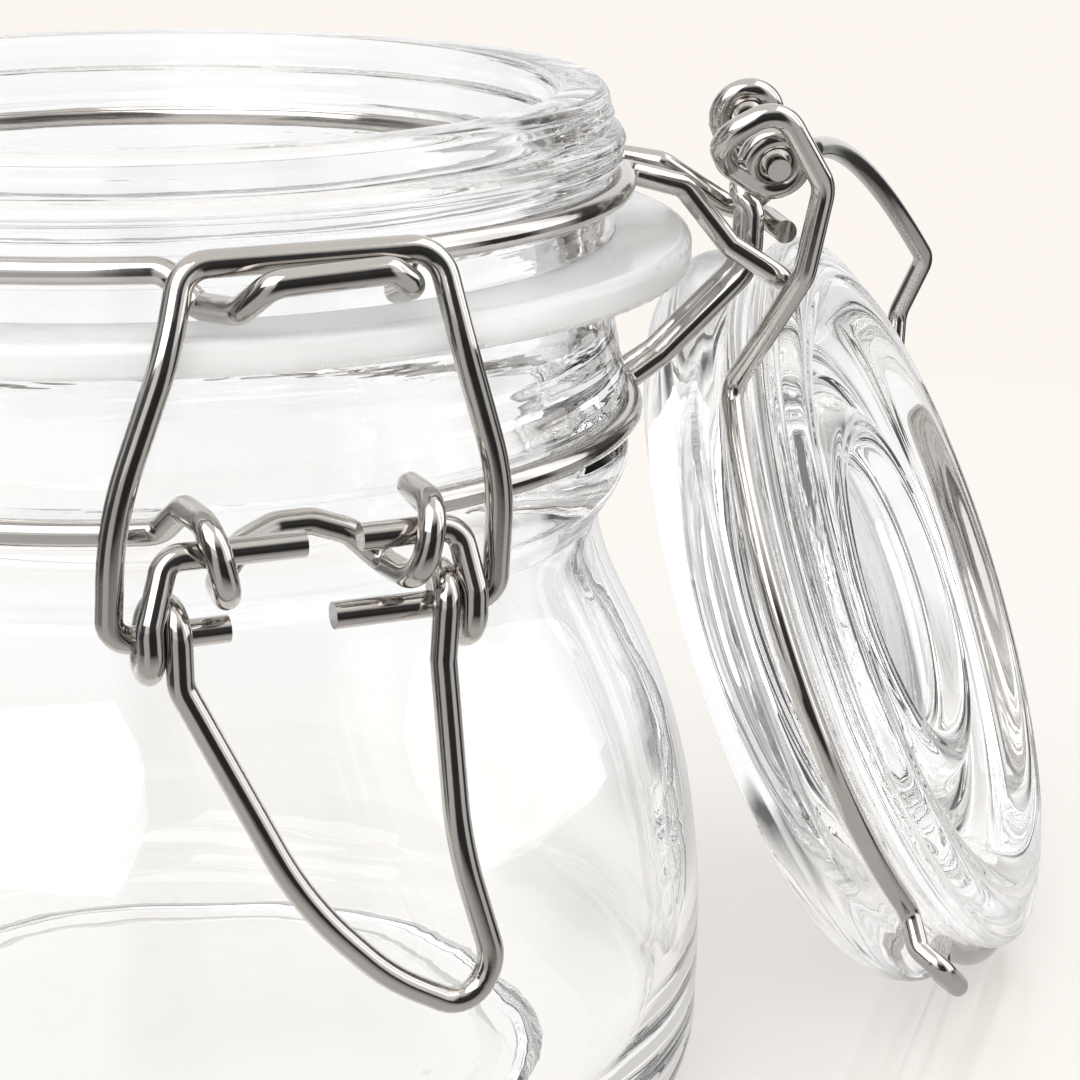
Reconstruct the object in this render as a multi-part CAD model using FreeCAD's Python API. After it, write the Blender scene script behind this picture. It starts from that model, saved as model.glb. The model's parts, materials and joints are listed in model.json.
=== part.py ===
"""Half-litre clip-top storage jar, empty, with its glass lid hanging open.

Millimetres, +Z up, the floor at z = 0 and the jar's axis on Z. The lever and
bail face -Y. Azimuths turn from -Y towards +X. Wires are real bent wires: a
round section swept along straight runs and rounded bends.
"""
import FreeCAD
import Part
import math
import os

from FreeCAD import Vector

# ---- jar ----------------------------------------------------------------
RIM_TOP = 102.5          # flat sealing rim
NECK_BAND_R = 44.4       # the neck: the band that carries the gasket
NECK_WALL = 5.5          # band to mouth
RIM_INNER_R = NECK_BAND_R - NECK_WALL
RIM_OUTER_R = NECK_BAND_R - 1.4
COLLAR_R = NECK_BAND_R + 0.8          # fullest step of the rim's outer wall
FLARE_R = NECK_BAND_R + 1.4           # lip just above the neck ring
BEAD_R = NECK_BAND_R + 1.3
WAIST_R = NECK_BAND_R - 1.55          # narrowest part, under the bead
BELLY_R = 53.15
BELLY_Z = 19.0
HEEL_H = 10.5            # height of the rounded heel
FOOT_OUTER_R = 44.0
FOOT_INNER_R = 38.0
PUSH_UP = 3.2            # height of the hollow under the foot
WALL = 3.3
FLOOR_Z = 7.6            # inside floor
FLOOR_CORNER = 7.5

# wire
WIRE_R = 1.15
SNUG = 0.1               # wire lying in a glass groove
LOOSE = 0.35             # wire looped loosely round another wire

# rings and gasket, measured down from the rim
UPPER_R = NECK_BAND_R + 0.8
UPPER_Z = RIM_TOP - 9.0
NECK_R = FLARE_R + 0.2
NECK_Z = RIM_TOP - 30.4
BEAD_Z = NECK_Z - 5.0
WAIST_Z = NECK_Z - 10.8
GASKET_R = NECK_BAND_R + 7.2
GASKET_Z = RIM_TOP - 16.6             # underside
GASKET_H = 3.2
GASKET_FIT = 0.05

# clasp at the front: t runs to the right, out is the distance from the axis
PIVOT_OUT, PIVOT_Z = NECK_R + 5.6, NECK_Z - 0.2         # lever's pivot
CRANK_DROP = 2.2 + 4 * WIRE_R         # the coils pass under the eyes
CRANK_OUT, CRANK_Z = PIVOT_OUT - 1.3, PIVOT_Z - CRANK_DROP      # bail's pivot on the lever
BAR_OUT, BAR_Z = UPPER_R + 5.4, UPPER_Z + 1.5           # bail's top bar, over the catch
BAIL_TOP_HALF = 10.6
BAIL_SHIFT = -1.13                    # the bail's feet sit a little left of centre
CLASP_SHIFT = -0.7                    # so do the eyes
EYE_OUTER_T, EYE_INNER_T = 9.6, 7.4   # the two strands of each neck-ring eye
COIL_T = EYE_OUTER_T + 2 * WIRE_R     # the lever's coils stand beside the eyes
BAIL_FOOT_HALF = COIL_T + 2.28 + 2 * WIRE_R

# lid, with heights above the seat
SEAT_GAP = 0.3
SEAT_Z = RIM_TOP + SEAT_GAP           # underside of the lid's seat when closed
PLUG_R = RIM_INNER_R - 1.0            # locating ring that drops into the mouth
PLUG_H = 1.5
LID_LOWER_R = RIM_OUTER_R - 2.8
LID_UPPER_R = RIM_OUTER_R - 1.2
LID_H = 14.6                          # seat to the top edge
LID_DISC_R = 14.0                     # plain disc amid the underside's rings
LID_GROOVE_R = RIM_OUTER_R - 3.85
LID_GROOVE_H = 4.6                    # groove's middle

# hinge
HINGE_AZ = 79.2
HINGE_R = BELLY_R + 6.95              # the lid hangs clear of the belly
HINGE_Z = UPPER_Z + 1.95
HINGE_LEAN = 17.2                     # the loose eyes let the lid's pin lean
HANG_MOST = 241.0                     # furthest the lid drops if no floor stops it
TOUCH = 0.03                          # left between the lid's edge and the floor
LEG = WIRE_R + 0.3                    # stay's legs, either side of the hinge's middle
EYE_S = 3.1 + 2 * WIRE_R              # eyes along the pin, either side of centre
PIN_HALF = EYE_S + 1.8

Z = Vector(0, 0, 1)


def polar(azimuth, radius, height):
    a = math.radians(azimuth)
    return Vector(radius * math.sin(a), -radius * math.cos(a), height)


def front(t, out, height):
    """A point across the clasp: t to the right, out from the jar's axis."""
    return Vector(t, -out, height)


HINGE_OUT = polar(HINGE_AZ, 1, 0)
HINGE_ALONG = polar(HINGE_AZ + 90, 1, 0)
LEAN = math.radians(HINGE_LEAN)
PIN_DIR = HINGE_ALONG * math.cos(LEAN) + Z * math.sin(LEAN)
PIN_UP = Z * math.cos(LEAN) - HINGE_ALONG * math.sin(LEAN)
PIN_MID = HINGE_OUT * HINGE_R + Z * HINGE_Z


def rear(t, out, height):
    """A point at the hinge: t towards the far side, out from the axis."""
    return HINGE_ALONG * t + HINGE_OUT * out + Z * height


def on_pin(s, a, b):
    """A point s along the hinge pin, a outwards and b up from it."""
    return PIN_MID + PIN_DIR * s + HINGE_OUT * a + PIN_UP * b


# ---- wire bending -------------------------------------------------------
def rounded(points, bends):
    """Edges of a polyline whose inner corners are rounded arcs."""
    if not isinstance(bends, (list, tuple)):
        bends = [bends] * (len(points) - 2)
    edges = []
    last = points[0]
    for i, bend in enumerate(bends, start=1):
        corner = points[i]
        back = (points[i - 1] - corner).normalize()
        on = (points[i + 1] - corner).normalize()
        half = back.getAngle(on) / 2
        run = bend / math.tan(half)
        start, end = corner + back * run, corner + on * run
        middle = corner + (back + on).normalize() * (bend / math.sin(half) - bend)
        if (start - last).Length > 1e-4:
            edges.append(Part.LineSegment(last, start).toShape())
        edges.append(Part.Arc(start, middle, end).toShape())
        last = end
    edges.append(Part.LineSegment(last, points[-1]).toShape())
    return edges


def ring_arc(az_from, az_to, radius, height):
    mid = (az_from + az_to) / 2
    ends = [polar(a, radius, height) for a in (az_from, mid, az_to)]
    return Part.Arc(*ends).toShape()


def off_ring(azimuth, radius, height, run):
    """The point reached by leaving a ring along its tangent."""
    here = polar(azimuth, radius, height)
    return here + polar(azimuth + 90, 1, 0) * run


def sweep(edges, radius=WIRE_R):
    path = Part.Wire(edges)
    first = edges[0]
    start = first.Vertexes[0].Point
    way = first.tangentAt(first.FirstParameter)
    profile = Part.Wire(Part.makeCircle(radius, start, way))
    return path.makePipeShell([profile], True, False)


def revolve(profile_edges):
    face = Part.Face(Part.Wire(profile_edges))
    return face.revolve(Vector(), Z, 360)


def rz(r, z):
    return Vector(r, 0, z)


def spline(*points):
    curve = Part.BSplineCurve()
    curve.interpolate([rz(*p) for p in points])
    return curve.toShape()


def along(start, end, *shares):
    """Points from start to end, those between given as shares of the way."""
    (r, z), (r_end, z_end) = start, end
    middle = [(r + f * (r_end - r), z + g * (z_end - z)) for f, g in shares]
    return [start] + middle + [end]


def line(a, b):
    return Part.LineSegment(rz(*a), rz(*b)).toShape()


def lines(*points):
    return [line(a, b) for a, b in zip(points, points[1:])]


# ---- jar body -----------------------------------------------------------
def jar_body():
    groove = UPPER_R - WIRE_R - SNUG
    lower_groove = NECK_R - WIRE_R - SNUG
    step_z, lip_z = RIM_TOP - 3.7, UPPER_Z + 1.8
    collar = spline((RIM_OUTER_R, RIM_TOP), (RIM_OUTER_R + 0.9, RIM_TOP - 1.1),
                    (RIM_OUTER_R + 1.15, RIM_TOP - 2.8), (COLLAR_R - 1.0, step_z))
    step = spline((COLLAR_R - 1.0, step_z), (COLLAR_R - 0.1, step_z - 0.8),
                  (COLLAR_R, step_z - 2.4), (COLLAR_R - 0.3, lip_z))
    band_foot = NECK_Z + 9.0
    waist, belly = (WAIST_R, WAIST_Z), (BELLY_R, BELLY_Z)
    heel_top = (BELLY_R - 0.25, HEEL_H)
    shoulder = along(waist, belly, (0.121, 0.125), (0.471, 0.312), (0.782, 0.525), (0.947, 0.738))
    heel = along(heel_top, (FOOT_OUTER_R, 0), (0.129, 0.39), (0.433, 0.714))
    outside = [collar, step] + lines(
        (COLLAR_R - 0.3, lip_z), (groove, UPPER_Z + 0.9), (groove, UPPER_Z - 0.9),
        (NECK_BAND_R, UPPER_Z - 1.7), (NECK_BAND_R, band_foot),
    )
    outside.append(spline((NECK_BAND_R, band_foot), (NECK_BAND_R + 0.7, NECK_Z + 4.5),
                          (FLARE_R, NECK_Z + 2.0)))
    outside += lines((FLARE_R, NECK_Z + 2.0), (lower_groove, NECK_Z + 1.0),
                     (lower_groove, NECK_Z - 1.0), (BEAD_R - 0.7, NECK_Z - 1.8))
    outside.append(spline((BEAD_R - 0.7, NECK_Z - 1.8), (BEAD_R, BEAD_Z),
                          (BEAD_R - 1.5, WAIST_Z + 2.8), (WAIST_R + 0.1, WAIST_Z + 1.0)))
    outside += [line((WAIST_R + 0.1, WAIST_Z + 1.0), waist), spline(*shoulder, heel_top),
                spline(*heel)]
    foot = lines((FOOT_OUTER_R, 0), (FOOT_INNER_R, 0))
    foot.append(spline((FOOT_INNER_R, 0), (FOOT_INNER_R - 4.0, PUSH_UP * 0.8),
                       (FOOT_INNER_R - 12.0, PUSH_UP)))
    foot += lines((FOOT_INNER_R - 12.0, PUSH_UP), (0, PUSH_UP))
    centre = lines((0, PUSH_UP), (0, FLOOR_Z))
    wall_r = BELLY_R - WALL
    floor_r = wall_r - FLOOR_CORNER
    wall_foot, inner_waist = (wall_r, BELLY_Z - 2.0), (WAIST_R - WALL - 0.15, WAIST_Z + 0.3)
    wall = along(wall_foot, inner_waist, (0.062, 0.316), (0.254, 0.518), (0.56, 0.686), (0.885, 0.854))
    mouth_foot = (RIM_INNER_R + 1.5, NECK_Z - 3.0)
    inside = lines((0, FLOOR_Z), (floor_r, FLOOR_Z))
    inside.append(spline((floor_r, FLOOR_Z), (wall_r - 2.2, FLOOR_Z + 2.4), *wall, mouth_foot))
    inside += lines(mouth_foot, (RIM_INNER_R + 1.7, band_foot), (RIM_INNER_R, UPPER_Z + 0.6),
                    (RIM_INNER_R, RIM_TOP - 0.9))
    inside.append(spline((RIM_INNER_R, RIM_TOP - 0.9), (RIM_INNER_R + 0.3, RIM_TOP - 0.25),
                         (RIM_INNER_R + 0.9, RIM_TOP)))
    rim = lines((RIM_INNER_R + 0.9, RIM_TOP), (RIM_OUTER_R, RIM_TOP))
    return revolve(outside + foot + centre + inside + rim)


# ---- gasket -------------------------------------------------------------
def gasket():
    inner = NECK_BAND_R + GASKET_FIT
    body = Part.makeCylinder(GASKET_R, GASKET_H, Vector(0, 0, GASKET_Z))
    body = body.cut(Part.makeCylinder(inner, GASKET_H, Vector(0, 0, GASKET_Z)))
    top, bottom = [], []
    for edge in body.Edges:
        box = edge.BoundBox
        if box.ZLength < 0.01 and box.XLength > 2 * GASKET_R - 0.1:
            (top if box.ZMax > GASKET_Z + 1 else bottom).append(edge)
    return body.makeFillet(1.1, top).makeFillet(0.5, bottom)


# ---- upper ring with its catch ------------------------------------------
def upper_ring():
    """One wire: far arm, round the neck to the catch, on to the near arm."""
    catch_half = 17.0
    near_half, far_half = 9.0, 14.0
    tongue = BAR_OUT + 2 * WIRE_R + 0.6
    wrap, beside = HINGE_R - 1.65 + 3 * WIRE_R, 2 * WIRE_R
    catch = [
        polar(-catch_half, UPPER_R, UPPER_Z),
        off_ring(-catch_half, UPPER_R, UPPER_Z, 3.0),
        front(-8.1, UPPER_R + 1.2, UPPER_Z - 2.7),
        front(-6.3, BAR_OUT + 0.4, UPPER_Z - 2.4),
        front(-4.2, tongue, UPPER_Z + 0.1),
        front(5.6, tongue, UPPER_Z + 0.5),
        front(7.7, tongue - 0.9, UPPER_Z - 1.0),
        front(7.9, UPPER_R + 2.8, UPPER_Z - 2.4),
        off_ring(catch_half, UPPER_R, UPPER_Z, -3.0),
        polar(catch_half, UPPER_R, UPPER_Z),
    ]
    near_az, far_az = HINGE_AZ - near_half, HINGE_AZ + far_half - 360
    near = [
        polar(near_az, UPPER_R, UPPER_Z),
        off_ring(near_az, UPPER_R, UPPER_Z, 3.0),
        rear(-1.1 - beside, GASKET_R, UPPER_Z - 1.9),
        rear(-1.3 - beside, GASKET_R + 4.6, GASKET_Z - 0.2),
        rear(-1.9 - beside, wrap, GASKET_Z - 3.9),
        rear(3.2, wrap, GASKET_Z - 4.2),
    ]
    far = [
        polar(far_az, UPPER_R, UPPER_Z),
        off_ring(far_az, UPPER_R, UPPER_Z, -3.0),
        rear(3.1 + beside, GASKET_R, UPPER_Z - 1.0),
        rear(2.3 + beside, GASKET_R + 6.2, GASKET_Z + 2.4),
        rear(1.6 + beside, wrap, GASKET_Z + 1.1),
        rear(-3.2, wrap, GASKET_Z + 0.8),
    ]
    edges = rounded(far[::-1], 2.0)
    edges.append(ring_arc(far_az, -catch_half, UPPER_R, UPPER_Z))
    edges += rounded(catch, [2.2, 1.8, 1.8, 1.9, 1.6, 1.7, 1.8, 2.2])
    edges.append(ring_arc(catch_half, near_az, UPPER_R, UPPER_Z))
    edges += rounded(near, 2.0)
    return sweep(edges)


# ---- neck ring: front eyes and rear hinge stay ---------------------------
def stay_leg(side):
    """From one end of the hinge pin, half a turn round the other leg, and down."""
    high, low = HINGE_Z - 3.0, GASKET_Z + 2.8
    steps = 3
    twist = []
    for step in range(steps + 1):
        turn, share = math.pi * step / steps, step / steps
        twist.append(rear(side * LEG * math.cos(turn),
                          HINGE_R - 0.2 - 0.8 * share - side * LEG * math.sin(turn),
                          high + (low - high) * share))
    return [on_pin(side * PIN_HALF, 0, 0), on_pin(side * LEG, 0, 0)] + twist + [
        rear(-side * LEG, HINGE_R - 1.2, GASKET_Z - 2.8),
        rear(-side * LEG, NECK_R + 3.8, NECK_Z + 2.4),
    ]


def neck_ring():
    """One wire: pin end, down the stay, round the neck, two eyes, and back."""
    leave = 17.5
    top, bottom = PIVOT_Z + 0.6 + 2 * WIRE_R, PIVOT_Z - 1.1 - 2 * WIRE_R
    nose = PIVOT_OUT + 0.85 + 2 * WIRE_R
    right_eye = [
        polar(leave, NECK_R, NECK_Z),
        off_ring(leave, NECK_R, NECK_Z, -2.4),
        front(EYE_OUTER_T, NECK_R + 1.6, top),
        front(EYE_OUTER_T - 0.2, nose, top),
        front(EYE_INNER_T + 0.6, nose, bottom),
        front(EYE_INNER_T - 0.2, NECK_R + 2.2, bottom),
        front(4.6, NECK_R + 0.9, NECK_Z - 1.0),
        front(1.6, NECK_R + 0.1, NECK_Z),
    ]
    left_eye = [Vector(-p.x, p.y, p.z) for p in right_eye][::-1]
    shift = Vector(CLASP_SHIFT, 0, 0)
    across = (right_eye[:2] + [p + shift for p in right_eye[2:] + left_eye[:-2]]
              + left_eye[-2:])
    near_az, far_az = HINGE_AZ - 6.0, HINGE_AZ + 6.0 - 360
    near = stay_leg(1) + [
        off_ring(near_az, NECK_R, NECK_Z, 3.0),
        polar(near_az, NECK_R, NECK_Z),
    ]
    far = stay_leg(-1) + [
        off_ring(far_az, NECK_R, NECK_Z, -3.0),
        polar(far_az, NECK_R, NECK_Z),
    ]
    leg_bends = [1.5, 2.0, 2.0, 2.0, 2.0, 5.0, 3.0, 1.5]
    edges = rounded(near, leg_bends)
    edges.append(ring_arc(near_az, leave, NECK_R, NECK_Z))
    edges += rounded(across, [2.0, 2.0, 2.9, 2.9, 1.9, 2.5, 3.0, 3.0, 2.5, 1.9, 2.9, 2.9, 2.0, 2.0])
    edges.append(ring_arc(-leave, far_az, NECK_R, NECK_Z))
    edges += rounded(far[::-1], leg_bends[::-1])
    return sweep(edges)


# ---- lever --------------------------------------------------------------
COIL = 2 * WIRE_R + LOOSE            # coil's centre line round the bail's foot
COIL_REACH = 0.9                      # the left coil stands this much further out


def coil_points(side):
    """From the pivot end, once round the bail's foot, to the top of the V."""
    steps = [
        (COIL_T + 0.5, PIVOT_OUT, PIVOT_Z),
        (COIL_T + 1.4, CRANK_OUT + COIL, CRANK_Z + 1.5),
        (COIL_T + 1.3, CRANK_OUT + COIL, CRANK_Z - COIL),
        (COIL_T + 0.8, CRANK_OUT - COIL, CRANK_Z - COIL),
        (COIL_T - 0.1, CRANK_OUT - COIL, CRANK_Z + COIL),
        (COIL_T - 0.9, CRANK_OUT + COIL, CRANK_Z + COIL),
    ]
    reach = COIL_REACH if side < 0 else 0
    return [front(CLASP_SHIFT + side * (t + (reach if z < PIVOT_Z else 0)), out, z)
            for t, out, z in steps]


def lever():
    clear = BELLY_R + WIRE_R + 1.7
    left_end = front(-1.5, PIVOT_OUT, PIVOT_Z)
    right_end = front(3.2, PIVOT_OUT, PIVOT_Z)
    vee = [
        front(-COIL_T - 0.7, PIVOT_OUT + 1.6, CRANK_Z - 3.5),
        front(-3.6, clear - 0.4, CRANK_Z - 22.6),
        front(3.6, clear, CRANK_Z - 30.2),
        front(10.6, clear, CRANK_Z - 34.2),
        front(12.9, clear, CRANK_Z - 30.0),
        front(10.1, clear - 0.6, CRANK_Z - 19.5),
        front(COIL_T - 2.2, PIVOT_OUT + 1.6, CRANK_Z - 4.0),
    ]
    points = [left_end] + coil_points(-1) + vee + coil_points(1)[::-1] + [right_end]
    turns = [1.8, 2.2, 2.4, 2.4, 2.4, 2.4]
    bends = turns + [3.0, 8.0, 8.0, 2.6, 2.4, 6.0, 3.0] + turns[::-1]
    return sweep(rounded(points, bends))


# ---- bail ---------------------------------------------------------------
def bail():
    def leg(side):
        return [
            front(side * BAIL_TOP_HALF, BAR_OUT, BAR_Z),
            front(BAIL_SHIFT / 2 + side * (BAIL_TOP_HALF + 1.5), GASKET_R + 1.1, UPPER_Z - 4.9),
            front(BAIL_SHIFT + side * (BAIL_FOOT_HALF - 0.1), CRANK_OUT + 2.0, CRANK_Z + 10.5),
            front(BAIL_SHIFT + side * BAIL_FOOT_HALF, CRANK_OUT, CRANK_Z),
        ]
    left_end = front(-7.7, CRANK_OUT, CRANK_Z)
    right_end = front(1.2, CRANK_OUT, CRANK_Z)
    points = [left_end] + leg(-1)[::-1] + leg(1) + [right_end]
    return sweep(rounded(points, [2.0, 8.0, 6.0, 2.8, 2.8, 6.0, 8.0, 2.0]))


# ---- lid, modelled closed on the rim ------------------------------------
def lid_glass():
    def up(r, h):
        return (r, SEAT_Z + h)

    disc, plug, top = LID_DISC_R, PLUG_R, LID_H
    profile = lines(up(0, 3.4), up(disc, 3.4))
    profile.append(spline(up(disc, 3.4), up(disc + 1.6, 2.9), up(disc + 2.8, 1.2),
                          up(disc + 4.4, 0.9)))
    profile.append(spline(up(disc + 4.4, 0.9), up(disc + 6.6, 1.3), up(disc + 8.4, 3.0),
                          up(disc + 11.0, 3.2)))
    profile.append(spline(up(disc + 11.0, 3.2), up(plug - 9.3, 2.6), up(plug - 7.5, 0.2),
                          up(plug - 5.7, 0.25 - PLUG_H), up(plug - 3.3, -PLUG_H)))
    profile.append(spline(up(plug - 3.3, -PLUG_H), up(plug - 1.3, 0.2 - PLUG_H),
                          up(plug, -0.3), up(plug + 0.4, 0)))
    profile += lines(up(plug + 0.4, 0), up(LID_LOWER_R - 0.7, 0))
    profile.append(spline(up(LID_LOWER_R - 0.7, 0), up(LID_LOWER_R, 0.8),
                          up(LID_LOWER_R + 0.1, 2.0), up(LID_LOWER_R - 0.3, 3.0)))
    profile += lines(up(LID_LOWER_R - 0.3, 3.0), up(LID_GROOVE_R, LID_GROOVE_H - 0.9),
                     up(LID_GROOVE_R, LID_GROOVE_H + 0.9), up(LID_LOWER_R, LID_GROOVE_H + 1.9))
    profile.append(spline(up(LID_LOWER_R, LID_GROOVE_H + 1.9), up(LID_UPPER_R - 0.4, top - 6.0),
                          up(LID_UPPER_R, top - 4.0), up(LID_UPPER_R - 0.5, top - 2.2),
                          up(LID_UPPER_R - 2.4, top)))
    profile += lines(up(LID_UPPER_R - 2.4, top), up(LID_UPPER_R - 6.3, top))
    profile.append(spline(up(LID_UPPER_R - 6.3, top), up(LID_UPPER_R - 8.2, top - 1.7),
                          up(LID_UPPER_R - 9.8, top - 3.2), up(LID_UPPER_R - 11.8, top - 3.6)))
    profile += lines(up(LID_UPPER_R - 11.8, top - 3.6), up(0, top - 3.6), up(0, 3.4))
    return revolve(profile)


def lid_wire():
    """One wire: near eye and arch, round the groove past the catch, far arm."""
    ring_r = LID_GROOVE_R + WIRE_R + SNUG
    ring_z = SEAT_Z + LID_GROOVE_H
    near_az = HINGE_AZ - 20.0
    catch_az = HINGE_AZ - 108.0
    catch_half = 10.5
    far_az = HINGE_AZ + 104.0 - 360.0
    eye_r = COIL

    arch_s = -EYE_S - 0.45 - 3 * WIRE_R
    near = [
        on_pin(-EYE_S, -0.8, eye_r),
        on_pin(-EYE_S - 0.6, 2.6, eye_r + 1.4),
        on_pin(arch_s, 7.4, 3.9),
        on_pin(arch_s, 7.4, -2.8),
        on_pin(arch_s, -2.6, -3.1),
        on_pin(arch_s - 1.3, -9.6, 2.6),
        off_ring(near_az, ring_r, ring_z, 4.5),
        polar(near_az, ring_r, ring_z),
    ]
    hook = [
        polar(catch_az + catch_half, ring_r, ring_z),
        off_ring(catch_az + catch_half, ring_r, ring_z, -2.6),
        polar(catch_az + 4.4, ring_r + 3.6, ring_z),
        polar(catch_az + 3.4, ring_r + 6.2, ring_z - 2.0),
        polar(catch_az - 3.4, ring_r + 6.2, ring_z - 2.0),
        polar(catch_az - 4.4, ring_r + 3.6, ring_z),
        off_ring(catch_az - catch_half, ring_r, ring_z, 2.6),
        polar(catch_az - catch_half, ring_r, ring_z),
    ]
    rim_r, rim_z = COLLAR_R + 3.2, HINGE_Z + 2.0
    far = [
        polar(far_az, ring_r, ring_z),
        off_ring(far_az, ring_r, ring_z, -4.0),
        polar(HINGE_AZ + 88.0, rim_r - 0.8, ring_z - 4.0),
        off_ring(HINGE_AZ + 76.0, rim_r, rim_z, 4.0),
        polar(HINGE_AZ + 76.0, rim_r, rim_z),
    ]
    reach = [
        polar(HINGE_AZ + 34.0, rim_r, rim_z),
        off_ring(HINGE_AZ + 34.0, rim_r, rim_z, -4.0),
        on_pin(EYE_S + 3.0, -8.0, 3.4),
        on_pin(EYE_S, -3.4, eye_r + 0.5),
        on_pin(EYE_S, 0.8, eye_r),
    ]
    edges = rounded(near, [1.6, 2.6, 2.8, 3.2, 3.2, 2.4])
    edges.append(ring_arc(near_az, catch_az + catch_half, ring_r, ring_z))
    edges += rounded(hook, [2.0, 1.6, 1.6, 1.6, 1.6, 2.0])
    edges.append(ring_arc(catch_az - catch_half, far_az, ring_r, ring_z))
    edges += rounded(far, [2.4, 3.0, 3.0])
    edges.append(ring_arc(HINGE_AZ + 76.0, HINGE_AZ + 34.0, rim_r, rim_z))
    edges += rounded(reach, [3.0, 3.0, 1.6])
    wire = sweep(edges)
    for side in (-1, 1):
        wire = wire.fuse(Part.makeTorus(eye_r, WIRE_R, on_pin(side * EYE_S, 0, 0), PIN_DIR))
    return wire


def lid_drop():
    """Turn from closed at which the lid's edge comes down to the floor."""
    edge = ((LID_UPPER_R, 4.0), (LID_UPPER_R - 0.5, 2.2), (LID_UPPER_R - 2.4, 0))

    def lowest(turn):
        spin = FreeCAD.Rotation(PIN_DIR, turn)
        upright = spin.multVec(Z)
        heights = []
        for radius, below_top in edge:
            middle = Z * (SEAT_Z + LID_H - below_top)
            centre = PIN_MID + spin.multVec(middle - PIN_MID)
            heights.append(centre.z - radius * math.sqrt(1 - upright.z ** 2))
        return min(heights)

    clear, under = 180.0, HANG_MOST
    if lowest(under) > TOUCH:
        return HANG_MOST
    while under - clear > 0.001:
        middle = (clear + under) / 2
        if lowest(middle) > TOUCH:
            clear = middle
        else:
            under = middle
    return clear


def hang_open(shape):
    """Turn a piece of the lid from closed to its hanging rest."""
    shape.rotate(PIN_MID, PIN_DIR, lid_drop())
    return shape


parts = {
    "jar_body": jar_body(),
    "gasket": gasket(),
    "upper_ring": upper_ring(),
    "neck_ring": neck_ring(),
    "lever": lever(),
    "bail": bail(),
    "lid_glass": hang_open(lid_glass()),
    "lid_wire": hang_open(lid_wire()),
}

os.makedirs("parts", exist_ok=True)
print("lid open by %.3f degrees" % lid_drop())
for name, shape in parts.items():
    solid = shape.Solids[0] if len(shape.Solids) == 1 else shape
    box = solid.BoundBox
    print("%-11s solids %d valid %s volume %.0f x %.1f..%.1f y %.1f..%.1f z %.2f..%.2f" % (
        name, len(shape.Solids), solid.isValid(), solid.Volume,
        box.XMin, box.XMax, box.YMin, box.YMax, box.ZMin, box.ZMax))
    solid.exportStep("parts/%s.step" % name)
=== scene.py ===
"""A clip-top glass jar standing open, its lid hanging beside it.

The glass is turned here from the frame's own sections, and the clasp's two
wires are bent here. The gasket and the other wires are smoothed copies of
their frame nodes. Lengths are in metres, except for the clasp's corners.
"""
import json
import math

import bmesh
import bpy
from mathutils import Matrix, Vector

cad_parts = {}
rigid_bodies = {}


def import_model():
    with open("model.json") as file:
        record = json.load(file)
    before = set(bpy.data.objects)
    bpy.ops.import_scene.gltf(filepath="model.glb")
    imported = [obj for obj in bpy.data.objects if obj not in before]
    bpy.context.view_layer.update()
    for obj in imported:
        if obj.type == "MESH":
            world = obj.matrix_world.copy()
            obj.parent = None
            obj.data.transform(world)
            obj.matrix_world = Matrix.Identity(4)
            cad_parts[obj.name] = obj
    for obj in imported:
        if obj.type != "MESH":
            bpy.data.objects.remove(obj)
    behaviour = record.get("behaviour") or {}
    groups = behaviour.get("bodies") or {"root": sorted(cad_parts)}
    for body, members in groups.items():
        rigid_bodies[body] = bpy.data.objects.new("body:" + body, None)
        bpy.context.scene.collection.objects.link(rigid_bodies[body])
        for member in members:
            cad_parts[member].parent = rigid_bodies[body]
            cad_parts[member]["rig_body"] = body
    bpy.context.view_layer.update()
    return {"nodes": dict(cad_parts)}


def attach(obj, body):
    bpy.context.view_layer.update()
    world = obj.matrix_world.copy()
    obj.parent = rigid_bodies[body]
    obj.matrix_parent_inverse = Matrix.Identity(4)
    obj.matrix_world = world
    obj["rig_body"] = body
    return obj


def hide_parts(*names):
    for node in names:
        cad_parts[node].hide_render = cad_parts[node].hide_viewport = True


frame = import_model()
scene = bpy.context.scene

# The lid closes level on the rim. Opened, it drops about its leaning pin and
# hangs beside the jar.
PIN_MIDDLE = Vector((0.059035, -0.011262, 0.09545))
PIN_AXIS = Vector((0.179001, 0.938358, 0.295708))
LID_DROP = math.radians(240.059)
CLOSED_SEAT = Vector((0, 0, 0.1028))
HANG = (Matrix.Translation(PIN_MIDDLE) @ Matrix.Rotation(LID_DROP, 4, PIN_AXIS)
        @ Matrix.Translation(-PIN_MIDDLE))
LID_MIDDLE = HANG @ CLOSED_SEAT
LID_AXIS = HANG.to_3x3() @ Vector((0, 0, 1))

WIRE = 0.0023           # thickness of every wire
NECK_FOOT = 0.071       # above it the jar's glass is coarser
SAME_POINT = 2e-6       # points this close are one point
ON_PLANE = 4e-6         # points this close to a cut lie on it
SAME_CORNER = 1.5e-4    # corners of a section this close are one corner


# ---- nodes of a material -------------------------------------------------
def new_material(name):
    """An empty Principled material: itself, its tree and its shader."""
    material = bpy.data.materials.new(name)
    material.use_nodes = True
    tree = material.node_tree
    return material, tree, tree.nodes["Principled BSDF"]


def feed(tree, socket, value):
    """Set a socket to a value, or link another socket to it."""
    if isinstance(value, bpy.types.NodeSocket):
        tree.links.new(value, socket)
    else:
        socket.default_value = value


def object_coordinates(tree):
    return tree.nodes.new("ShaderNodeTexCoord").outputs["Object"]


def noise(tree, vector, scale, detail, roughness=0.5, distortion=0.0):
    node = tree.nodes.new("ShaderNodeTexNoise")
    feed(tree, node.inputs["Vector"], vector)
    feed(tree, node.inputs["Scale"], scale)
    feed(tree, node.inputs["Detail"], detail)
    feed(tree, node.inputs["Roughness"], roughness)
    feed(tree, node.inputs["Distortion"], distortion)
    return node.outputs["Fac"]


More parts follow.
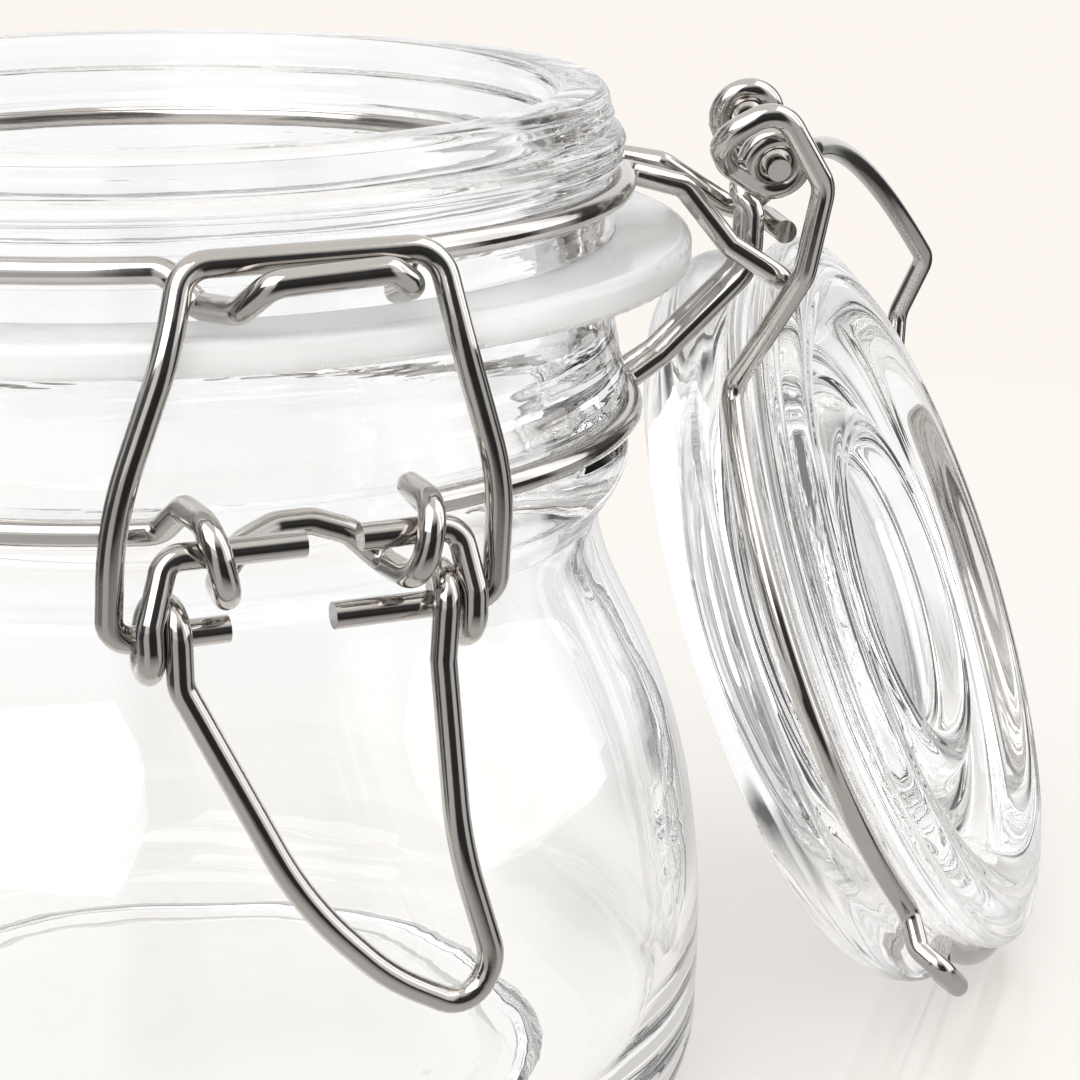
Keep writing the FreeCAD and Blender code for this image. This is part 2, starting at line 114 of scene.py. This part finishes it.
def ramp(tree, value, *stops):
    """A colour ramp of (position, grey or colour) stops."""
    node = tree.nodes.new("ShaderNodeValToRGB")
    elements = node.color_ramp.elements
    while len(elements) < len(stops):
        elements.new(0.5)
    for element, (position, colour) in zip(elements, stops):
        element.position = position
        element.color = (*colour, 1) if hasattr(colour, "__len__") else (colour,) * 3 + (1,)
    tree.links.new(value, node.inputs["Fac"])
    return node.outputs["Color"]


def ramp_about(tree, value, middle, *stops):
    """A colour ramp whose stops are given as distances from a middle value."""
    return ramp(tree, arithmetic(tree, "SUBTRACT", value, middle - 0.5),
                *((0.5 + distance, colour) for distance, colour in stops))


def bump(tree, height, strength, distance, normal=None):
    node = tree.nodes.new("ShaderNodeBump")
    feed(tree, node.inputs["Height"], height)
    feed(tree, node.inputs["Strength"], strength)
    feed(tree, node.inputs["Distance"], distance)
    if normal:
        feed(tree, node.inputs["Normal"], normal)
    return node.outputs["Normal"]


def arithmetic(tree, operation, *values):
    """A Math node of numbers and sockets."""
    node = tree.nodes.new("ShaderNodeMath")
    node.operation = operation
    for socket, value in zip(node.inputs, values):
        feed(tree, socket, value)
    return node.outputs[0]


def vector_arithmetic(tree, operation, result, *vectors):
    """A Vector Math node of vectors and sockets, and which of its results is used."""
    node = tree.nodes.new("ShaderNodeVectorMath")
    node.operation = operation
    for socket, vector in zip(node.inputs, vectors):
        feed(tree, socket, vector)
    return node.outputs[result]


def split_axes(tree, vector):
    node = tree.nodes.new("ShaderNodeSeparateXYZ")
    tree.links.new(vector, node.inputs[0])
    return node.outputs


def joined_axes(tree, x, y, z):
    node = tree.nodes.new("ShaderNodeCombineXYZ")
    for socket, value in zip(node.inputs, (x, y, z)):
        tree.links.new(value, socket)
    return node.outputs[0]


def mixed_colour(tree, share, first, second):
    node = tree.nodes.new("ShaderNodeMix")
    node.data_type = "RGBA"
    for name, value in zip(("Factor", "A", "B"), (share, first, second)):
        feed(tree, node.inputs[name], value)
    return node.outputs["Result"]


def mixed_shader(tree, share, first, second):
    node = tree.nodes.new("ShaderNodeMixShader")
    for socket, value in zip(node.inputs, (share, first, second)):
        tree.links.new(value, socket)
    return node.outputs[0]


def glow(tree, kind, colour, strength=1.0):
    """An Emission or Background node."""
    node = tree.nodes.new(kind)
    feed(tree, node.inputs["Color"], colour)
    feed(tree, node.inputs["Strength"], strength)
    return node.outputs[0]


# ---- finishes ------------------------------------------------------------
def about_upright(tree, place):
    """Distance from the jar's axis, and height."""
    x, y, z = split_axes(tree, place)
    squared = arithmetic(tree, "ADD", arithmetic(tree, "MULTIPLY", x, x),
                         arithmetic(tree, "MULTIPLY", y, y))
    return arithmetic(tree, "SQRT", squared), z


def about_lid(tree, place):
    """Distance from the hanging lid's axis, and height along it."""
    offset = vector_arithmetic(tree, "SUBTRACT", "Vector", place, LID_MIDDLE)
    height = vector_arithmetic(tree, "DOT_PRODUCT", "Value", offset, LID_AXIS)
    length = vector_arithmetic(tree, "LENGTH", "Value", offset)
    squared = arithmetic(tree, "SUBTRACT", arithmetic(tree, "MULTIPLY", length, length),
                         arithmetic(tree, "MULTIPLY", height, height))
    return arithmetic(tree, "SQRT", arithmetic(tree, "MAXIMUM", squared, 0.0)), height


def clear_glass(name, axes, ripples, neck=None):
    """Pressed clear glass with slow waves, and fine rings about its piece's axis.

    axes gives the distance from the axis and the height along it, ripples is
    how strongly the mould's rings show, and above neck the glass is coarser.
    """
    material, tree, shader = new_material(name)
    shader.inputs["Base Color"].default_value = (0.996, 0.999, 0.998, 1)
    shader.inputs["Transmission Weight"].default_value = 1
    shader.inputs["IOR"].default_value = 1.5
    shader.inputs["Roughness"].default_value = 0.0
    place = object_coordinates(tree)
    radius, height = axes(tree, place)
    waves = noise(tree, place, 38, 2, 0.45, 0.3)
    sway = arithmetic(tree, "MULTIPLY", noise(tree, place, 14, 1, 0.4), 0.004)
    rings = noise(tree, joined_axes(tree, radius, height, sway), 300, 2)
    if neck:
        x, y, _ = split_axes(tree, place)
        stretched = joined_axes(tree, arithmetic(tree, "MULTIPLY", x, 0.09),
                                arithmetic(tree, "MULTIPLY", y, 0.09), height)
        streaks = noise(tree, stretched, 420, 3, 0.55, 0.2)
        coarser = ramp_about(tree, height, neck, (-0.005, 0.0), (0.005, 1.0))
        rings = arithmetic(tree, "ADD", arithmetic(tree, "MULTIPLY", rings, 0.3),
                           arithmetic(tree, "MULTIPLY", streaks, coarser))
    waved = bump(tree, waves, 0.4, 0.0007)
    tree.links.new(bump(tree, rings, ripples, 0.00012, waved), shader.inputs["Normal"])
    return material


def milky_silicone():
    """Translucent silicone: cloudy, nearly white, and greyer at its outer edge."""
    material, tree, shader = new_material("milky_silicone")
    place = object_coordinates(tree)
    radius, _ = about_upright(tree, place)
    cloud = noise(tree, place, 70, 3)
    tint = ramp_about(tree, radius, 0.05,
                      (-0.0015, (0.985, 0.99, 0.99)), (0.0055, (0.93, 0.95, 0.965)))
    tree.links.new(tint, shader.inputs["Base Color"])
    shader.inputs["Transmission Weight"].default_value = 0.55
    shader.inputs["IOR"].default_value = 1.41
    shader.inputs["Subsurface Weight"].default_value = 0.8
    shader.inputs["Subsurface Radius"].default_value = (1, 1, 1)
    shader.inputs["Subsurface Scale"].default_value = 0.003
    tree.links.new(ramp(tree, cloud, (0.3, 0.12), (0.75, 0.24)), shader.inputs["Roughness"])
    tree.links.new(bump(tree, cloud, 0.15, 0.0004), shader.inputs["Normal"])
    return material


def drawn_steel():
    """Bright drawn stainless wire with fine draw marks."""
    material, tree, shader = new_material("drawn_steel")
    shader.inputs["Metallic"].default_value = 1
    place = object_coordinates(tree)
    fine = noise(tree, place, 700, 2, 0.6)
    broad = noise(tree, place, 60, 3)
    tint = ramp(tree, broad, (0.3, (0.50, 0.475, 0.45)), (0.7, (0.60, 0.575, 0.55)))
    tree.links.new(tint, shader.inputs["Base Color"])
    tree.links.new(ramp(tree, fine, (0.3, 0.07), (0.75, 0.15)), shader.inputs["Roughness"])
    tree.links.new(bump(tree, fine, 0.08, 0.0001), shader.inputs["Normal"])
    return material


# ---- pieces that stand for frame nodes -----------------------------------
def stand_for(node, mesh, material, sharp):
    """Finish a mesh and let it stand for its frame node.

    Edges that turn by more than sharp degrees keep their crease.
    """
    shape = bmesh.new()
    shape.from_mesh(mesh)
    bmesh.ops.remove_doubles(shape, verts=shape.verts, dist=SAME_POINT)
    for face in shape.faces:
        face.smooth = True
    for edge in shape.edges:
        edge.smooth = edge.is_manifold and edge.calc_face_angle(0) < math.radians(sharp)
    shape.to_mesh(mesh)
    shape.free()
    mesh.materials.clear()
    mesh.materials.append(material)
    piece = bpy.data.objects.new(node + "_piece", mesh)
    scene.collection.objects.link(piece)
    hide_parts(node)
    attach(piece, frame["nodes"][node]["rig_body"])


def finished(node, material):
    """A merged, smoothly shaded copy of a frame node."""
    stand_for(node, frame["nodes"][node].data.copy(), material, sharp=28)


# ---- glass turned in the mould -------------------------------------------
def section_of(shape):
    """Cut a turned piece down to its section, on the +X side of its axis."""
    everything = list(shape.verts) + list(shape.edges) + list(shape.faces)
    bmesh.ops.bisect_plane(shape, geom=everything, dist=ON_PLANE, plane_co=(0, 0, 0),
                           plane_no=(0, 1, 0), clear_inner=True, clear_outer=True)
    bmesh.ops.bisect_plane(shape, geom=list(shape.verts) + list(shape.edges), dist=ON_PLANE,
                           plane_co=(0, 0, 0), plane_no=(1, 0, 0), clear_inner=True)
    on_axis = [edge for edge in shape.edges if max(v.co.x for v in edge.verts) < ON_PLANE]
    bmesh.ops.delete(shape, geom=on_axis, context="EDGES")
    bmesh.ops.remove_doubles(shape, verts=shape.verts, dist=SAME_CORNER)


def soften(shape, longest=0.0016):
    """Round a section's corners and divide its long runs."""
    corners = [vert for vert in shape.verts
               if len(vert.link_edges) == 2 and vert.calc_edge_angle(0) > math.radians(14)]
    bmesh.ops.bevel(shape, geom=corners, offset=0.00035, offset_type="OFFSET", segments=3,
                    profile=0.5, affect="VERTICES", clamp_overlap=True, material=-1)
    for edge in list(shape.edges):
        cuts = int(edge.calc_length() / longest)
        if cuts:
            bmesh.ops.subdivide_edges(shape, edges=[edge], cuts=cuts)


def turned(node, material, hang=None, ridged=None):
    """A glass piece spun from the softened section of its frame node.

    hang is the turn from upright to where the piece stands, and ridged moves
    the section's points where the mould left ridges.
    """
    shape = bmesh.new()
    shape.from_mesh(frame["nodes"][node].data)
    if hang:
        bmesh.ops.transform(shape, matrix=hang.inverted(), verts=shape.verts)
    bmesh.ops.remove_doubles(shape, verts=shape.verts, dist=SAME_POINT)
    section_of(shape)
    soften(shape)
    if ridged:
        for vert in shape.verts:
            ridged(vert.co)
    bmesh.ops.spin(shape, geom=list(shape.verts) + list(shape.edges), cent=(0, 0, 0),
                   axis=(0, 0, 1), dvec=(0, 0, 0), angle=2 * math.pi, steps=180,
                   use_merge=True)
    bmesh.ops.remove_doubles(shape, verts=shape.verts, dist=SAME_POINT)
    bmesh.ops.recalc_face_normals(shape, faces=shape.faces)
    if hang:
        bmesh.ops.transform(shape, matrix=hang, verts=shape.verts)
    mesh = bpy.data.meshes.new(node + "_piece")
    shape.to_mesh(mesh)
    shape.free()
    stand_for(node, mesh, material, sharp=180)


def jar_ridges(place):
    """Shallow mould ridges round the rim and the neck band."""
    rim = place.x > 0.0405 and 0.0955 < place.z < 0.1015
    band = place.x > 0.0438 and 0.0765 < place.z < 0.0845
    if rim:
        place.x += 0.00014 * math.sin(place.z * 3100) + 0.00005 * math.sin(place.z * 7300)
    elif band:
        place.x += 0.00007 * math.sin(place.z * 2100)


# ---- the clasp's bent wires ----------------------------------------------
# In millimetres. A corner is how far it is to the right across the clasp, out
# from the jar's axis and up, and the radius of its bend.
PIVOT = (51.6, 71.9)            # out and up: the lever's ends, in the neck wire's eyes
FOOT_OUT, FOOT_UP = 50.3, 65.1  # the bail's feet, in the lever's coils
BAR = (50.6, 95.0)              # the bail's top bar, over the catch
COIL = 2.65                     # from the middle of a foot to the coil round it
COILS_SHIFT = -0.7              # the coils are centred a little left of the clasp's middle
FEET_SHIFT = -1.13              # and so are the bail's feet
VEE_OUT = 56.0                  # the lever's V stands clear of the belly


def coil(side, further=0.0):
    """From the lever's bend at its pivot, once round the bail's foot, to the V's top."""
    corners = [(12.4, *PIVOT, 1.8)]
    corners += [(across + further, out, up, bend) for across, out, up, bend in (
        (13.3, FOOT_OUT + COIL, FOOT_UP + 1.5, 2.2),
        (13.2, FOOT_OUT + COIL, FOOT_UP - COIL, 2.4),
        (12.7, FOOT_OUT - COIL, FOOT_UP - COIL, 2.4),
        (11.8, FOOT_OUT - COIL, FOOT_UP + COIL, 2.4),
        (11.0, FOOT_OUT + COIL, FOOT_UP + COIL, 2.4))]
    return [(COILS_SHIFT + side * across, *rest) for across, *rest in corners]


def lever_corners():
    vee = [
        (-12.6, 53.2, FOOT_UP - 3.5, 3.0), (-3.6, VEE_OUT - 0.4, FOOT_UP - 22.6, 32.0),
        (3.6, VEE_OUT, FOOT_UP - 30.2, 20.0), (10.6, VEE_OUT, FOOT_UP - 34.2, 2.7),
        (12.9, VEE_OUT, FOOT_UP - 30.0, 4.0), (10.1, VEE_OUT - 0.6, FOOT_UP - 19.5, 32.0),
        (9.7, 53.2, FOOT_UP - 4.0, 3.0),
    ]
    return [(-1.5, *PIVOT, 0), *coil(-1, further=0.9), *vee, *reversed(coil(1)),
            (3.2, *PIVOT, 0)]


def bail_leg(side):
    """From the top bar's corner down to the foot's."""
    return [
        (side * 10.6, *BAR, 2.8),
        (FEET_SHIFT / 2 + side * 12.1, 52.7, 88.6, 16.0),
        (FEET_SHIFT + side * 16.38, FOOT_OUT + 2.0, FOOT_UP + 10.5, 25.0),
        (FEET_SHIFT + side * 16.48, FOOT_OUT, FOOT_UP, 2.0),
    ]


def bail_corners():
    return [(-7.7, FOOT_OUT, FOOT_UP, 0), *reversed(bail_leg(-1)), *bail_leg(1),
            (1.2, FOOT_OUT, FOOT_UP, 0)]


def bent_wire(node, material, corners):
    """A round wire bent at each corner, with its ends cut square."""
    curve = bpy.data.curves.new(node, "CURVE")
    curve.dimensions = "3D"
    curve.bevel_depth, curve.bevel_resolution = WIRE / 2, 5
    curve.resolution_u, curve.use_fill_caps = 8, True
    places = [Vector((across, -out, up)) / 1000 for across, out, up, _ in corners]
    straight = 1e-5  # so short a handle leaves the run between two bends straight
    knots = [(places[0],) * 3]
    for before, corner, after, (*_, bend) in zip(places, places[1:], places[2:], corners[1:]):
        back, on = (before - corner).normalized(), (after - corner).normalized()
        turn = math.pi - back.angle(on)
        run = bend / 1000 * math.tan(turn / 2)
        pull = bend / 1000 * math.tan(turn / 4) * 4 / 3
        start, end = corner + back * run, corner + on * run
        knots += [(start + back * straight, start, start - back * pull),
                  (end - on * pull, end, end + on * straight)]
    knots.append((places[-1],) * 3)
    spline = curve.splines.new("BEZIER")
    spline.bezier_points.add(len(knots) - 1)
    for point, (left, place, right) in zip(spline.bezier_points, knots):
        point.handle_left_type = point.handle_right_type = "FREE"
        point.handle_left, point.co, point.handle_right = left, place, right
    bend_line = bpy.data.objects.new(node + "_line", curve)
    scene.collection.objects.link(bend_line)
    bpy.context.view_layer.update()
    mesh = bpy.data.meshes.new_from_object(bend_line)
    bpy.data.objects.remove(bend_line)
    stand_for(node, mesh, material, sharp=40)


# ---- the jar's pieces ----------------------------------------------------
turned("jar_body", clear_glass("jar_glass", about_upright, 0.5, neck=NECK_FOOT),
       ridged=jar_ridges)
turned("lid_glass", clear_glass("lid_glass", about_lid, 0.35), hang=HANG)
finished("gasket", milky_silicone())
steel = drawn_steel()
bent_wire("lever", steel, lever_corners())
bent_wire("bail", steel, bail_corners())
for node in ("upper_ring", "neck_ring", "lid_wire"):
    finished(node, steel)


# ---- table, light and camera ---------------------------------------------
CREAM = (0.975, 0.925, 0.87, 1)
PALE = (0.99, 0.965, 0.94, 1)
CEILING = (1.0, 0.985, 0.96, 1)

# how far round the object, and how bright the studio is there: 0 is in front
# (-Y), 0.25 the left, 0.5 behind and 0.75 the right
# the tabletop's far part also glows with these stops, as a painted reflection for glass and
# steel
SOFT_BOXES_AND_GAPS = (
    (0.0, 0.05), (0.055, 0.05), (0.075, 0.9), (0.15, 1.0), (0.17, 0.07), (0.26, 0.10),
    (0.29, 0.6), (0.33, 0.6), (0.35, 0.10), (0.42, 0.2), (0.46, 1.0), (0.64, 1.0),
    (0.675, 0.10), (0.73, 0.06), (0.745, 0.75), (0.77, 0.75), (0.785, 0.06),
    (0.825, 0.06), (0.845, 1.0), (0.91, 1.0), (0.93, 0.05), (1.0, 0.05))


def studio_round(tree, direction):
    """How bright the studio is in a direction."""
    x, y, _ = split_axes(tree, direction)
    turn = tree.nodes.new("ShaderNodeMapRange")
    feed(tree, turn.inputs["From Min"], -math.pi)
    feed(tree, turn.inputs["From Max"], math.pi)
    feed(tree, turn.inputs["Value"], arithmetic(tree, "ARCTAN2", x, y))
    return ramp(tree, turn.outputs[0], *SOFT_BOXES_AND_GAPS)


def pale_tabletop():
    """A pale glossy finish near the object, that fades into the backdrop's colour. In
    reflections its far part glows with painted soft boxes and dark gaps.
    """
    material, tree, shader = new_material("pale_tabletop")
    place = object_coordinates(tree)
    distance = vector_arithmetic(tree, "LENGTH", "Value", place)
    path = tree.nodes.new("ShaderNodeLightPath")

    # close to the object it is lit; further out it glows
    tint = ramp(tree, distance, (0.07, (0.44, 0.427, 0.41)), (0.28, (0.10, 0.097, 0.093)))
    tree.links.new(tint, shader.inputs["Base Color"])
    shader.inputs["Roughness"].default_value = 0.10
    shader.inputs["Specular IOR Level"].default_value = 0.4
    shader.inputs["Emission Color"].default_value = CREAM
    tree.links.new(ramp(tree, distance, (0.07, 0.36), (0.28, 0.66)),
                   shader.inputs["Emission Strength"])
    seen = mixed_shader(tree, ramp(tree, distance, (0.16, 0.0), (0.36, 1.0)),
                        shader.outputs[0], glow(tree, "ShaderNodeEmission", CREAM))

    # in glass and steel its far part is a painted reflection: it glows with painted soft
    # boxes and dark gaps of the studio
    far = ramp(tree, distance, (0.09, 0.0), (0.20, 1.0))
    painted_soft_boxes = mixed_colour(tree, far, PALE, studio_round(tree, place))
    mirrored = arithmetic(tree, "SUBTRACT", path.outputs["Is Glossy Ray"],
                          path.outputs["Is Transmission Ray"])
    dimmed = arithmetic(tree, "SUBTRACT", 1.0, arithmetic(tree, "MULTIPLY", mirrored, 0.35))
    painted_studio_glow = glow(tree, "ShaderNodeEmission", painted_soft_boxes, dimmed)
    tree.links.new(mixed_shader(tree, path.outputs["Is Glossy Ray"], seen, painted_studio_glow),
                   tree.nodes["Material Output"].inputs["Surface"])
    return material


def tabletop():
    shape = bmesh.new()
    bmesh.ops.create_circle(shape, cap_ends=True, segments=96, radius=3.0)
    mesh = bpy.data.meshes.new("tabletop")
    shape.to_mesh(mesh)
    shape.free()
    mesh.materials.append(pale_tabletop())
    top = bpy.data.objects.new("tabletop", mesh)
    scene.collection.objects.link(top)


def studio():
    """A pale backdrop for the eye, and soft boxes with dark gaps for glass and steel."""
    world = bpy.data.worlds.new("studio")
    scene.world = world
    world.use_nodes = True
    tree = world.node_tree
    tree.nodes.clear()
    output = tree.nodes.new("ShaderNodeOutputWorld")
    direction = tree.nodes.new("ShaderNodeTexCoord").outputs["Generated"]
    path = tree.nodes.new("ShaderNodeLightPath")
    overhead = ramp(tree, split_axes(tree, direction)["Z"], (0.45, 0.0), (0.75, 1.0))
    light = mixed_colour(tree, overhead, studio_round(tree, direction), CEILING)
    tree.links.new(mixed_shader(tree, path.outputs["Is Camera Ray"],
                                glow(tree, "ShaderNodeBackground", light),
                                glow(tree, "ShaderNodeBackground", CREAM)),
                   output.inputs["Surface"])


def soft_box(name, place, size, power):
    """A rectangular lamp aimed at the jar's middle."""
    lamp = bpy.data.lights.new(name, "AREA")
    lamp.shape, lamp.size, lamp.size_y = "RECTANGLE", *size
    lamp.energy = power
    box = bpy.data.objects.new(name, lamp)
    scene.collection.objects.link(box)
    box.location = place
    aim = Vector((0.02, 0, 0.05)) - Vector(place)
    box.rotation_euler = aim.to_track_quat("-Z", "Y").to_euler()
    return box


def camera():
    lens = bpy.data.cameras.new("camera")
    lens.lens, lens.sensor_width = 100.23, 36.0
    lens.clip_start, lens.clip_end = 0.01, 20
    eye = bpy.data.objects.new("camera", lens)
    scene.collection.objects.link(eye)
    eye.location = (-0.07317, -0.27306, 0.1394)
    eye.rotation_mode = "QUATERNION"
    eye.rotation_quaternion = Vector((0.36895, 0.88680, -0.27832)).to_track_quat("-Z", "Y")
    scene.camera = eye


tabletop()
studio()
soft_box("key", (-0.55, -0.45, 0.75), (1.0, 1.0), 7.0)
soft_box("fill", (0.7, -0.2, 0.5), (0.8, 1.0), 3.5)
front = soft_box("front", (-0.15, -0.8, 0.35), (0.8, 0.8), 3.5)
front.visible_glossy = front.visible_transmission = False
camera()
scene.view_settings.view_transform = "Standard"
# light passes through four walls of glass, each with two surfaces
scene.cycles.max_bounces = 24
scene.cycles.glossy_bounces = 16
scene.cycles.transmission_bounces = 24
